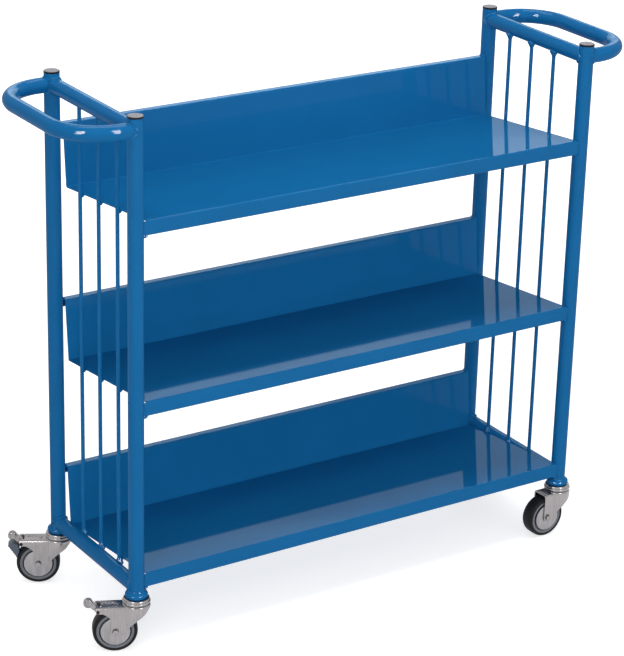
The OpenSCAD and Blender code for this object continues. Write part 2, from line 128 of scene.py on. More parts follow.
# The weld at a rod's end: how far out from just inside the rod, and how high above the tube
FLARE = ((0, 9.0), (0.7, 8.2), (1.5, 6.0), (2.7, 3.6), (4.2, 1.2), (5.0, -0.6), (3.6, -3.0), (0, -3.0),
         (0, 9.0))
FLARE_INSET = 0.4
FLARE_SIDES = 32
FLARE_LOBES = 5
FLARE_SWELL = 0.08


# Weld beads, in metres

BEAD_STEPS = 120
HANDLE_BEAD_SHARE = 0.6
LIP_BEAD_R = 0.0023
LIP_BEAD_POINTS = 6

# From the front post's middle and the lip's lower front edge: inward along the lip, back and up
LIP_BEAD_START = (0.0105, 0.0016, -0.0022)
LIP_BEAD_STEP = (0.0014, 0, 0.0006)


# Lamps and camera, in metres

# Lamps that light the trolley: name, place, aim, width and height, and the setting with the power
SOFTBOXES = (("Front softbox", (-2.3, -2.7, 1.9), (0, 0, 0.5), (2.6, 1.8), "key"),
             ("Low softbox", (0.9, -3.3, 0.9), (0, 0, 0.4), (2.4, 1.2), "low"),
             ("Top softbox", (0, -0.3, 3.2), (0, 0, 0.5), (2.2, 1.0), "top"),
             ("Rear softbox", (1.6, 2.8, 2.6), (0, 0, 0.6), (2.2, 1.6), "rim"))

# Boxes and a panel that are seen in the gloss alone, all aimed at one point
SPARKS = (("Left", (-3.56, -1.85, 2.7)), ("Right", (0.42, -3.85, 2.7)))
SPARK_SIZE = (1.1, 3.2)
GLINT_SIZE = (0.7, 1.6)
CEILING_PLACE = (0.3, 0.9, 3.3)
CEILING_SIZE = (1.8, 1.2)
GLOSS_AIM = (0, 0, 0.9)

# The wall that the decks mirror: for each step how far away it is, its foot and its brightness
WALL_STEPS = ((3.40, 1.10, 1.5), (3.46, 1.48, 1.2), (3.52, 1.90, 3.8))
WALL_DIRECTION = Vector((0.55, 0.835, 0))
WALL_WIDTH = 3.4
WALL_HEAD = 2.9
WALL_TINT = (0.72, 0.93, 1.0)

# The floor's radius, and between which distances from its middle it turns white
FLOOR_R = 9.0
FLOOR_FADE = (1.0, 4.0)

# The photo's view, with lens and sensor in millimetres
CAMERA_LENS = 137.43
CAMERA_SENSOR = 36
CAMERA_SHIFT = (-0.0108, 0.0254)
CAMERA_TURN = math.radians(33.42)
CAMERA_TIP = math.radians(22.36)
CAMERA_ROLL = math.radians(1.59)
CAMERA_PLACE = (-2.3472, POSTS["front_left"][1] - 3.4105, 2.1838)


# Sizes and colours that a user may change

class TrolleyPaint(bpy.types.PropertyGroup):
    blue: FloatVectorProperty(name="Blue", description="Powder coat colour", subtype="COLOR", size=3,
                              min=0, max=1, default=(0.006, 0.113, 0.295))
    gloss: FloatProperty(name="Gloss", description="Weight of the clear top skin", default=0.28, min=0,
                         max=1)
    roughness: FloatProperty(name="Roughness", description="Roughness of the coat", default=0.4, min=0,
                             max=1)
    peel: FloatProperty(name="Peel", description="Depth of the orange peel", default=0.06, min=0, max=1)
    crown: FloatProperty(name="Crown", description="How much flatter the decks' sheet lies in the gloss",
                         default=math.radians(1.7), min=0, max=0.1, subtype="ANGLE", unit="ROTATION")


class TrolleyPlate(bpy.types.PropertyGroup):
    zinc: FloatVectorProperty(name="Zinc", description="Colour of the plated steel", subtype="COLOR",
                              size=3, min=0, max=1, default=(0.30, 0.285, 0.29))
    guard: FloatVectorProperty(name="Guard", description="Colour of the thread guards", subtype="COLOR",
                               size=3, min=0, max=1, default=(0.30, 0.29, 0.30))
    roughness: FloatProperty(name="Roughness", description="Roughness of the plating", default=0.22, min=0,
                             max=1)


class TrolleyRubber(bpy.types.PropertyGroup):
    tyre: FloatVectorProperty(name="Tyre", description="Tyre colour", subtype="COLOR", size=3,
                              min=0, max=1, default=(0.006, 0.006, 0.0075))
    core: FloatVectorProperty(name="Core", description="Wheel core colour", subtype="COLOR", size=3,
                              min=0, max=1, default=(0.115, 0.125, 0.145))
    tread: FloatVectorProperty(name="Pedal", description="Brake tread colour", subtype="COLOR", size=3,
                               min=0, max=1, default=(0.050, 0.070, 0.100))
    cap: FloatVectorProperty(name="Cap", description="Post cap colour", subtype="COLOR", size=3,
                             min=0, max=1, default=(0.004, 0.004, 0.005))
    # Grey for the caps' upward faces: partly dust, partly a painted reflection of the rear wall, whose
    # lamps light only the paint.
    dusting_and_sheen: FloatVectorProperty(name="Dust", description="Grey that lies on the caps' tops", subtype="COLOR",
                              size=3, min=0, max=1, default=(0.29, 0.283, 0.31))


class TrolleyShape(bpy.types.PropertyGroup):
    bead: FloatProperty(name="Bead", description="Radius of the tube welds", default=0.0032, min=0.0005,
                        max=0.004, subtype="DISTANCE", unit="LENGTH")
    ripple: FloatProperty(name="Ripple", description="Pitch of the weld ripples", default=0.0032,
                          min=0.001, max=0.01, subtype="DISTANCE", unit="LENGTH")
    edge: FloatProperty(name="Edge", description="Rounding of pressed and turned edges", default=0.0005,
                        min=0.0001, max=0.002, subtype="DISTANCE", unit="LENGTH")
    turns: IntProperty(name="Turns", description="Steps of a full spin", default=96, min=24, max=256)


class TrolleyStage(bpy.types.PropertyGroup):
    floor: FloatVectorProperty(name="Floor", description="Floor colour", subtype="COLOR", size=3,
                               min=0, max=1, default=(0.72, 0.72, 0.72))
    glow: FloatProperty(name="Glow", description="White added to the floor where it is looked at",
                        default=0.6, min=0, max=1)
    key: FloatProperty(name="Key", description="Power of the large front lamp", default=57, min=0)
    low: FloatProperty(name="Low", description="Power of the low lamp that reaches under the shelves",
                       default=24, min=0)
    top: FloatProperty(name="Top", description="Power of the lamp overhead", default=36, min=0)
    spark: FloatProperty(name="Spark", description="Power of the two boxes seen in the gloss",
                         default=1500, min=0)
    glint: FloatProperty(name="Glint", description="Power of the same boxes as the bare metal shows them",
                         default=45, min=0)
    ceiling: FloatProperty(name="Ceiling", description="Power of the panel seen on the tubes' backs",
                           default=90, min=0)
    wall: FloatProperty(name="Wall", description="Brightness of the pale wall that the flat decks mirror",
                        default=1.0, min=0)
    rim: FloatProperty(name="Rim", description="Power of the lamp behind", default=20, min=0)
    sky: FloatProperty(name="Sky", description="Strength of the surrounding light", default=0.5, min=0)


def settings(name):
    return getattr(bpy.context.scene, "trolley_" + name)


# Shader node groups shared by the materials

def new_group(name, inputs, outputs):
    group = bpy.data.node_groups.new(name, "ShaderNodeTree")
    for label, kind, value in inputs:
        socket = group.interface.new_socket(name=label, in_out="INPUT", socket_type=kind)
        if value is not None:
            socket.default_value = value
    for label, kind in outputs:
        group.interface.new_socket(name=label, in_out="OUTPUT", socket_type=kind)
    return group, group.nodes.new("NodeGroupInput"), group.nodes.new("NodeGroupOutput")


def node(tree, kind, **values):
    made = tree.nodes.new(kind)
    for key, value in values.items():
        setattr(made, key, value)
    return made


def ramp(tree, value, low, high, lowest=0.0, highest=1.0, smooth=False):
    """Carry a value's stretch from low to high over to the stretch from lowest to highest."""
    made = node(tree, "ShaderNodeMapRange", interpolation_type="SMOOTHSTEP" if smooth else "LINEAR")
    made.inputs["From Min"].default_value = low
    made.inputs["From Max"].default_value = high
    made.inputs["To Min"].default_value = lowest
    made.inputs["To Max"].default_value = highest
    tree.links.new(value, made.inputs["Value"])
    return made.outputs["Result"]


def noise(tree, vector, scale, detail=2.0, roughness=0.5):
    made = node(tree, "ShaderNodeTexNoise")
    made.inputs["Detail"].default_value = detail
    made.inputs["Roughness"].default_value = roughness
    tree.links.new(vector, made.inputs["Vector"])
    tree.links.new(scale, made.inputs["Scale"])
    return made.outputs["Fac"]


def product(tree, one, other):
    made = node(tree, "ShaderNodeMath", operation="MULTIPLY")
    tree.links.new(one, made.inputs[0])
    tree.links.new(other, made.inputs[1])
    return made.outputs["Value"]


def object_place(tree):
    return node(tree, "ShaderNodeTexCoord").outputs["Object"]


def grain_group():
    """Fine and coarse unevenness of a surface: a height for bump and a patchy mask."""
    if "Surface grain" in bpy.data.node_groups:
        return bpy.data.node_groups["Surface grain"]
    tree, given, out = new_group(
        "Surface grain",
        (("Fine scale", "NodeSocketFloat", 900.0), ("Patch scale", "NodeSocketFloat", 14.0),
         ("Stretch", "NodeSocketVector", (1.0, 1.0, 1.0))),
        (("Height", "NodeSocketFloat"), ("Patches", "NodeSocketFloat")))
    stretch = node(tree, "ShaderNodeVectorMath", operation="MULTIPLY")
    tree.links.new(object_place(tree), stretch.inputs[0])
    tree.links.new(given.outputs["Stretch"], stretch.inputs[1])
    fine = noise(tree, stretch.outputs[0], given.outputs["Fine scale"], detail=3)
    patches = noise(tree, stretch.outputs[0], given.outputs["Patch scale"], detail=4, roughness=0.6)
    tree.links.new(fine, out.inputs["Height"])
    tree.links.new(ramp(tree, patches, 0.3, 0.7, smooth=True), out.inputs["Patches"])
    return tree


def edge_group():
    """A soft mask along hard edges, from the difference between the true and the rounded normal."""
    if "Edge rub" in bpy.data.node_groups:
        return bpy.data.node_groups["Edge rub"]
    tree, given, out = new_group(
        "Edge rub",
        (("Width", "NodeSocketFloat", 0.0012), ("Break up", "NodeSocketFloat", 160.0)),
        (("Mask", "NodeSocketFloat"), ("Normal", "NodeSocketVector")))
    round_off = node(tree, "ShaderNodeBevel", samples=4)
    tree.links.new(given.outputs["Width"], round_off.inputs["Radius"])
    flat = node(tree, "ShaderNodeNewGeometry")
    dot = node(tree, "ShaderNodeVectorMath", operation="DOT_PRODUCT")
    tree.links.new(round_off.outputs["Normal"], dot.inputs[0])
    tree.links.new(flat.outputs["Normal"], dot.inputs[1])
    near_edge = ramp(tree, dot.outputs["Value"], 0.985, 0.85)
    ragged = noise(tree, object_place(tree), given.outputs["Break up"])
    mask = product(tree, near_edge, ramp(tree, ragged, 0.45, 0.65))
    tree.links.new(mask, out.inputs["Mask"])
    tree.links.new(round_off.outputs["Normal"], out.inputs["Normal"])
    return tree


def dusting_and_sheen_group():
    """Grey on what faces up that thins out towards the sides: partly dust, partly a painted sheen."""
    if "Settled dust" in bpy.data.node_groups:
        return bpy.data.node_groups["Settled dust"]
    tree, given, out = new_group(
        "Settled dust",
        (("Surface", "NodeSocketColor", None), ("Dust", "NodeSocketColor", None),
         ("Speckle", "NodeSocketFloat", 700.0)),
        (("Color", "NodeSocketColor"),))
    facing = node(tree, "ShaderNodeNewGeometry")
    axes = node(tree, "ShaderNodeSeparateXYZ")
    tree.links.new(facing.outputs["Normal"], axes.inputs["Vector"])
    # Painted reflection: upward faces turn grey as if they mirrored a pale wall, besides the dust.
    lies = ramp(tree, axes.outputs["Z"], 0.75, 0.97, smooth=True)
    speckle = noise(tree, object_place(tree), given.outputs["Speckle"])
    amount = product(tree, lies, ramp(tree, speckle, 0.3, 0.6, lowest=0.62))
    mixed = node(tree, "ShaderNodeMix", data_type="RGBA")
    tree.links.new(amount, mixed.inputs["Factor"])
    tree.links.new(given.outputs["Surface"], mixed.inputs["A"])
    tree.links.new(given.outputs["Dust"], mixed.inputs["B"])
    tree.links.new(mixed.outputs["Result"], out.inputs["Color"])
    return tree


# Materials

def surface(name, colour, shade, edge, edge_amount, roughness, bump, fine, patch, metallic=0.0,
            bump_m=0.0001, stretch=(1, 1, 1), edge_width=0.0012, sockets=None):
    """One finished material: patchy colour and roughness, fine bump and lighter rubbed edges."""
    if name in bpy.data.materials:
        return bpy.data.materials[name]
    made = bpy.data.materials.new(name)
    made.use_nodes = True
    tree = made.node_tree
    shader = tree.nodes["Principled BSDF"]
    grain = node(tree, "ShaderNodeGroup", node_tree=grain_group())
    grain.inputs["Fine scale"].default_value = fine
    grain.inputs["Patch scale"].default_value = patch
    grain.inputs["Stretch"].default_value = stretch
    tint = node(tree, "ShaderNodeMix", data_type="RGBA")
    tint.inputs["A"].default_value = (*colour, 1)
    tint.inputs["B"].default_value = (*shade, 1)
    tree.links.new(grain.outputs["Patches"], tint.inputs["Factor"])
    rubbed = node(tree, "ShaderNodeGroup", node_tree=edge_group())
    rubbed.inputs["Width"].default_value = edge_width
    wear = node(tree, "ShaderNodeMath", operation="MULTIPLY")
    wear.inputs[1].default_value = edge_amount
    tree.links.new(rubbed.outputs["Mask"], wear.inputs[0])
    worn = node(tree, "ShaderNodeMix", data_type="RGBA")
    worn.inputs["B"].default_value = (*edge, 1)
    tree.links.new(wear.outputs["Value"], worn.inputs["Factor"])
    tree.links.new(tint.outputs["Result"], worn.inputs["A"])
    tree.links.new(worn.outputs["Result"], shader.inputs["Base Color"])
    rough = ramp(tree, grain.outputs["Patches"], 0, 1, *roughness)
    tree.links.new(rough, shader.inputs["Roughness"])
    relief = node(tree, "ShaderNodeBump")
    relief.inputs["Strength"].default_value = bump
    relief.inputs["Distance"].default_value = bump_m
    tree.links.new(grain.outputs["Height"], relief.inputs["Height"])
    tree.links.new(rubbed.outputs["Normal"], relief.inputs["Normal"])
    tree.links.new(relief.outputs["Normal"], shader.inputs["Normal"])
    shader.inputs["Metallic"].default_value = metallic
    for label, value in (sockets or {}).items():
        shader.inputs[label].default_value = value
    return made


def scaled(colour, by):
    return tuple(min(1.0, c * by) for c in colour)


def clear_skin(roughness):
    """The glossy skin over the powder coat, which alone gives its highlights."""
    return {"Specular IOR Level": 0.0, "Coat Weight": settings("paint").gloss,
            "Coat Roughness": roughness, "Coat IOR": 1.25}


def paint_blue():
    paint = settings("paint")
    return surface("Blue powder coat", tuple(paint.blue), scaled(paint.blue, 1.06),
                   edge=scaled(paint.blue, 1.8), edge_amount=0.25, edge_width=0.0014,
                   roughness=(paint.roughness - 0.02, paint.roughness + 0.03), bump=paint.peel,
                   bump_m=0.00012, fine=520, patch=9, sockets=clear_skin(0.05))


def deck_blue():
    """The powder coat on the shelves, whose clear skin shows how the sheet is crowned."""
    if "Blue powder coat on decks" in bpy.data.materials:
        return bpy.data.materials["Blue powder coat on decks"]
    made = paint_blue().copy()
    made.name = "Blue powder coat on decks"
    tree = made.node_tree
    axes = node(tree, "ShaderNodeSeparateXYZ")
    tree.links.new(object_place(tree), axes.inputs["Vector"])
    slope = node(tree, "ShaderNodeMath", operation="MULTIPLY")
    slope.inputs[1].default_value = math.tan(settings("paint").crown)
    tree.links.new(axes.outputs["Y"], slope.inputs[0])
    crown = node(tree, "ShaderNodeBump")
    crown.inputs["Strength"].default_value = 1.0
    crown.inputs["Distance"].default_value = 1.0
    tree.links.new(slope.outputs["Value"], crown.inputs["Height"])
    tree.links.new(crown.outputs["Normal"], tree.nodes["Principled BSDF"].inputs["Coat Normal"])
    return made


def weld_blue():
    blue = tuple(settings("paint").blue)
    return surface("Blue over weld", blue, scaled(blue, 1.1), edge=scaled(blue, 1.6), edge_amount=0.1,
                   roughness=(0.32, 0.46), bump=0.5, bump_m=0.0004, fine=340, patch=60,
                   sockets=clear_skin(0.07))


def plated(name, colour, rough, patch=30.0, stretch=(1, 1, 1), depth=0.2):
    return surface(name, scaled(colour, 1 - depth), scaled(colour, 1 + depth), edge=scaled(colour, 1.8),
                   edge_amount=0.6, edge_width=0.0008, roughness=(rough - 0.05, rough + 0.07), bump=0.08,
                   fine=700, patch=patch, stretch=stretch, metallic=1.0)


def zinc():
    plate = settings("plate")
    return plated("Bright zinc", tuple(plate.zinc), plate.roughness, patch=620, stretch=(1, 1, 0.05),
                  depth=0.1)


def steel():
    plate = settings("plate")
    return plated("Plated fixings", scaled(plate.zinc, 0.92), plate.roughness - 0.04, patch=80)


def guard_zinc():
    plate = settings("plate")
    return plated("Pressed zinc guard", tuple(plate.guard), plate.roughness + 0.08, patch=120,
                  stretch=(1, 1, 0.2), depth=0.14)


def tyre_rubber():
    tyre = tuple(settings("rubber").tyre)
    return surface("Tyre rubber", tyre, scaled(tyre, 1.6), edge=scaled(tyre, 3.0), edge_amount=0.35,
                   roughness=(0.5, 0.64), bump=0.25, fine=1500, patch=45,
                   sockets={"Specular IOR Level": 0.15})


def core_plastic():
    core = tuple(settings("rubber").core)
    return surface("Wheel core plastic", core, scaled(core, 1.15), edge=scaled(core, 1.7),
                   edge_amount=0.4, roughness=(0.34, 0.44), bump=0.08, fine=1100, patch=55)


def tread_rubber():
    tread = tuple(settings("rubber").tread)
    return surface("Pedal rubber", tread, scaled(tread, 1.25), edge=scaled(tread, 1.8), edge_amount=0.5,
                   roughness=(0.42, 0.55), bump=0.2, bump_m=0.00015, fine=900, patch=80)


def cap_plastic():
    rubber = settings("rubber")
    cap = tuple(rubber.cap)
    made = surface("Cap plastic", cap, scaled(cap, 1.3), edge=scaled(cap, 2.6), edge_amount=0.5,
                   roughness=(0.4, 0.5), bump=0.12, fine=1300, patch=70,
                   sockets={"Specular IOR Level": 0.12})
    tree = made.node_tree
    # Grey on the tops: partly dust, partly a painted reflection of the rear wall.
    if "Dust" not in tree.nodes:
        colour = tree.nodes["Principled BSDF"].inputs["Base Color"]
        dusting_and_sheen_node = node(tree, "ShaderNodeGroup", node_tree=dusting_and_sheen_group(), name="Dust")
        dusting_and_sheen_node.inputs["Dust"].default_value = (*rubber.dusting_and_sheen, 1)
        tree.links.new(colour.links[0].from_socket, dusting_and_sheen_node.inputs["Surface"])
        tree.links.new(dusting_and_sheen_node.outputs["Color"], colour)
    return made


def black_oxide():
    cap = tuple(settings("rubber").cap)
    return surface("Black oxide", scaled(cap, 0.7), cap, edge=scaled(cap, 3.0), edge_amount=0.4,
                   roughness=(0.35, 0.45), bump=0.08, fine=1000, patch=90, metallic=0.6)


# Mesh helpers

MERGE = 1e-6
FLAT_ANGLE = math.radians(0.6)
HARD_ANGLE = math.radians(34)


def finish_mesh(bm, name, sharp=32.0):
    """Clean the mesh, mark the hard edges and put it in an object at the origin."""
    bmesh.ops.remove_doubles(bm, verts=bm.verts, dist=MERGE)
    bmesh.ops.recalc_face_normals(bm, faces=bm.faces)
    for face in bm.faces:
        face.smooth = True
    for edge in bm.edges:
        edge.smooth = len(edge.link_faces) == 2 and edge.calc_face_angle(0) < math.radians(sharp)
    data = bpy.data.meshes.new(name)
    bm.to_mesh(data)
    bm.free()
    made = bpy.data.objects.new(name, data)
    bpy.context.scene.collection.objects.link(made)
    return made


def dress(piece, body, material, slot, replaces=()):
    piece.data.materials.clear()
    piece.data.materials.append(material)
    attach(piece, body)
    if replaces:
        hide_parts(*replaces)
    return piece


def paint_node(name, material):
    made = frame["nodes"][name]
    for place in made.material_slots:
        place.material = material


def spin_profile(bm, points, centre, axis, across, turns):
    """Turn a profile of (radius, along the axis) points about an axis and close it."""
    loop = [bm.verts.new(centre + across * (r * MM) + axis * (t * MM)) for r, t in points]
    edges = [bm.edges.new((a, b)) for a, b in zip(loop, loop[1:])]
    bmesh.ops.spin(bm, geom=loop + edges, cent=centre, axis=axis, angle=2 * math.pi, steps=turns,
                   use_merge=True)


def turned_on_axle(half, corner, name):
    """Turn a closed profile about a wheel's axle; the second half mirrors the one that is given."""
    profile = [*half, *((radius, -along) for radius, along in reversed(half))]
    bm = bmesh.new()
    spin_profile(bm, profile + [profile[0]], *wheel_axes(corner), settings("shape").turns)
    return finish_mesh(bm, name)


def copy_of_node(name):
    """A merged copy of a node's mesh with its flat faces joined up again."""
    bm = bmesh.new()
    bm.from_mesh(frame["nodes"][name].data)
    bmesh.ops.remove_doubles(bm, verts=bm.verts, dist=2 * MERGE)
    bmesh.ops.dissolve_limit(bm, angle_limit=FLAT_ANGLE, verts=bm.verts, edges=bm.edges,
                             use_dissolve_boundaries=False)
    return bm


def round_edges(bm, width):
    hard = [edge for edge in bm.edges if len(edge.link_faces) == 2 and edge.calc_face_angle(0) > HARD_ANGLE]
    bmesh.ops.bevel(bm, geom=hard, offset=width, offset_type="OFFSET", affect="EDGES", segments=2,
                    profile=0.5, material=-1, clamp_overlap=True)


def rounded_copy(name, piece, width):
    """A copy of a node's mesh with its hard edges rounded, under the piece's own name."""
    bm = copy_of_node(name)
    round_edges(bm, width)
    return finish_mesh(bm, piece)


def bead(path, radius, closed=True):
    """A weld bead along a path: a tube that ripples as the weld pool froze and thins at open ends."""
    ripple = settings("shape").ripple
    curve = bpy.data.curves.new("bead", "CURVE")
    curve.dimensions = "3D"
    curve.bevel_depth = 1.0
    curve.bevel_resolution = 5
    curve.use_fill_caps = not closed
    spline = curve.splines.new("POLY")
    spline.points.add(len(path) - 1)
    spline.use_cyclic_u = closed
    run = 0.0
    for k, (point, place) in enumerate(zip(spline.points, path)):
        run += (Vector(place) - Vector(path[k - 1])).length if k else 0.0
        from_end = min(k, len(path) - 1 - k) / len(path)
        ends = 1.0 if closed else min(1.0, 0.35 + 4.0 * from_end)
        wave = 0.10 * math.sin(2 * math.pi * run / ripple)
        tremor = 0.06 * math.sin(run * 900)
        point.co = (*place, 1)
        point.radius = radius * ends * (1 + wave + tremor)
    holder = bpy.data.objects.new("bead", curve)
    bpy.context.scene.collection.objects.link(holder)
    bpy.context.view_layer.update()
    shape = bpy.data.meshes.new_from_object(holder)
    bpy.data.objects.remove(holder)
    return shape


def joined(shapes, name):
    bm = bmesh.new()
    for shape in shapes:
        bm.from_mesh(shape)
    return finish_mesh(bm, name, sharp=60.0)


# The pieces

class TROLLEY_OT_powder_coat(bpy.types.Operator):
    """Give the tubes, shelves, rods and sockets their powder coat"""
    bl_idname = "trolley.powder_coat"
    bl_label = "Powder coat"

    def execute(self, context):
        for name in frame["nodes"]:
            if name.startswith(("post_front", "post_rear", "crossbar", "handle", "guard_rods")):
                paint_node(name, paint_blue())
            if name.startswith("shelf"):
                paint_node(name, deck_blue())
        paint_node("caster_sockets", weld_blue())
        return {"FINISHED"}


class TROLLEY_OT_welds(bpy.types.Operator):
    """Lay the weld beads where bars, handles and rods meet"""
    bl_idname = "trolley.welds"
    bl_label = "Weld beads"

    def execute(self, context):
        for side, outward in zip(SIDES, (-1, 1)):
            shapes = [*self.crossbar_beads(side), *self.handle_beads(side, outward),
                      *self.lip_beads(side, outward), *self.rod_flares(side)]
            dress(joined(shapes, "weld_beads_" + side), "frame", weld_blue(), "frame_blue")
        return {"FINISHED"}

    def saddle(self, post, level, toward, across):
        """The line where a post meets a bar that leaves it in the direction toward."""
        line = []
        for k in range(BEAD_STEPS):
            turn = 2 * math.pi * k / BEAD_STEPS
            aside = BAR_R * math.cos(turn)
            reach = math.sqrt(POST_R ** 2 - aside ** 2)
            line.append((post[0] + toward[0] * reach + across[0] * aside,
                         post[1] + toward[1] * reach + across[1] * aside,
                         BAR_Z[level] + BAR_R * math.sin(turn)))
        return line

    def crossbar_beads(self, side):
        radius = settings("shape").bead
        for level in LEVELS:
            for end, inward in zip(ENDS, (1, -1)):
                yield bead(self.saddle(POSTS[end + "_" + side], level, (0, inward), (1, 0)), radius)

    def handle_beads(self, side, outward):
        radius = settings("shape").bead * HANDLE_BEAD_SHARE
        for end in ENDS:
            yield bead(self.saddle(POSTS[end + "_" + side], "top", (outward, 0), (0, 1)), radius)

    def lip_beads(self, side, outward):
        """The short bead from the front post along each shelf's lip."""
        post_x = POSTS["front_" + side][0]
        for shelf in SHELVES:
            _, lip_y, lip_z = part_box("shelf_" + shelf)[0]
            line = []
            for k in range(LIP_BEAD_POINTS):
                inward, back, up = (a + b * k for a, b in zip(LIP_BEAD_START, LIP_BEAD_STEP))
                line.append((post_x - outward * inward, lip_y + back, lip_z + up))
            yield bead(line, LIP_BEAD_R, closed=False)

    def rod_flares(self, side):
        """The welds at both ends of a side's three rods."""
        rod_x, middle_y, _ = middle("guard_rods_" + side)
        pitch = half_size("guard_rods_" + side, 1) - ROD_R
        above = math.sqrt(BAR_R ** 2 - (rod_x - POSTS["front_" + side][0]) ** 2)
        for k in (-1, 0, 1):
            for level, up in zip(LEVELS, (-1, 1)):
                yield self.flare(Vector((rod_x, middle_y + k * pitch, BAR_Z[level] + up * above)), up)

    def flare(self, seat, up):
        """The weld that spreads from a rod onto the tube, uneven round the rod as a hand laid it."""
        bm = bmesh.new()
        inside = ROD_R / MM - FLARE_INSET
        profile = [(inside + out, height) for out, height in FLARE]
        spin_profile(bm, profile, seat, Vector((0, 0, up)), Vector((1, 0, 0)), FLARE_SIDES)
        bmesh.ops.remove_doubles(bm, verts=bm.verts, dist=MERGE)
        phase = seat.y * 300
        for vert in bm.verts:
            out = Vector((vert.co.x - seat.x, vert.co.y - seat.y, 0))
            if out.length > ROD_R:
                turn = math.atan2(out.y, out.x)
                vert.co += out * FLARE_SWELL * math.sin(FLARE_LOBES * turn + phase)
        shape = bpy.data.meshes.new("flare")
        bm.to_mesh(shape)
        bm.free()
        return shape


class TROLLEY_OT_caps(bpy.types.Operator):
    """Soften the rims of the plastic caps and lay dust and a painted sheen on their tops"""
    bl_idname = "trolley.caps"
    bl_label = "Post caps"

    def execute(self, context):
        dress(rounded_copy("post_caps", "caps_moulded", settings("shape").edge), "frame", cap_plastic(),
              "cap_black", ("post_caps",))
        return {"FINISHED"}


class TROLLEY_OT_tyres(bpy.types.Operator):
    """Turn the tyres with crown, shoulders and mould lines"""
    bl_idname = "trolley.tyres"
    bl_label = "Tyres"

    def execute(self, context):
        half = [(WHEEL_R / MM - inside, along) for inside, along in TYRE_HALF]
        for corner in CORNERS:
            dress(turned_on_axle(half, corner, "tyre_turned_" + corner), "wheel_" + corner, tyre_rubber(),
                  "tyre_black", ("tyre_" + corner,))
        return {"FINISHED"}


class TROLLEY_OT_wheel_cores(bpy.types.Operator):
    """Turn the moulded wheel cores with their raised side rings"""
    bl_idname = "trolley.wheel_cores"
    bl_label = "Wheel cores"

    def execute(self, context):
        for corner in CORNERS:
            dress(turned_on_axle(CORE_HALF, corner, "core_moulded_" + corner), "wheel_" + corner,
                  core_plastic(), "wheel_grey", ("wheel_core_" + corner,))
        return {"FINISHED"}


class TROLLEY_OT_metalwork(bpy.types.Operator):
    """Round the edges of forks, bearing heads, guards, bolts and leaves and plate them"""
    bl_idname = "trolley.metalwork"
    bl_label = "Plated metalwork"

    def execute(self, context):
        edge = settings("shape").edge
        kinds = (("fork", "fork_pressed", "swivel_", zinc, "zinc_plate", edge),
                 ("head", "head_turned", None, zinc, "zinc_plate", edge),
                 ("thread_guards", "guards_pressed", "swivel_", guard_zinc, "guard_zinc", edge * 0.6),
                 ("axle", "axle_plated", "swivel_", steel, "bright_steel", edge * 0.6),
                 ("stem_bolt", "stem_plated", None, steel, "bright_steel", edge * 0.6),
                 ("brake_leaf", "leaf_plated", "swivel_", zinc, "zinc_plate", edge * 0.5))
        for kind, label, carrier, finish, slot, width in kinds:
            for corner in CORNERS:
                name = kind + "_" + corner
                body = carrier + corner if carrier else "frame"
                if name in frame["nodes"]:
                    dress(rounded_copy(name, label + "_" + corner, width), body, finish(), slot, (name,))
        for corner in CORNERS:
            paint_node("axle_sleeve_" + corner, steel())
        return {"FINISHED"}


class TROLLEY_OT_brakes(bpy.types.Operator):
    """Plate the brake rockers, mould the ribbed tread and blacken the pins"""
    bl_idname = "trolley.brakes"
    bl_label = "Brakes"

    def execute(self, context):
        edge = settings("shape").edge
        for corner in BRAKED:
            rocker, tread = "brake_rocker_" + corner, "brake_tread_" + corner
            dress(rounded_copy(rocker, "rocker_plated_" + corner, edge), "pedal_" + corner, steel(),
                  "bright_steel", (rocker,))
            paint_node("brake_pin_" + corner, black_oxide())
            if tread in frame["nodes"]:
                dress(rounded_copy(tread, "tread_ribbed_" + corner, edge * 0.7), "pedal_" + corner,
                      tread_rubber(), "tread_slate", (tread,))
        return {"FINISHED"}


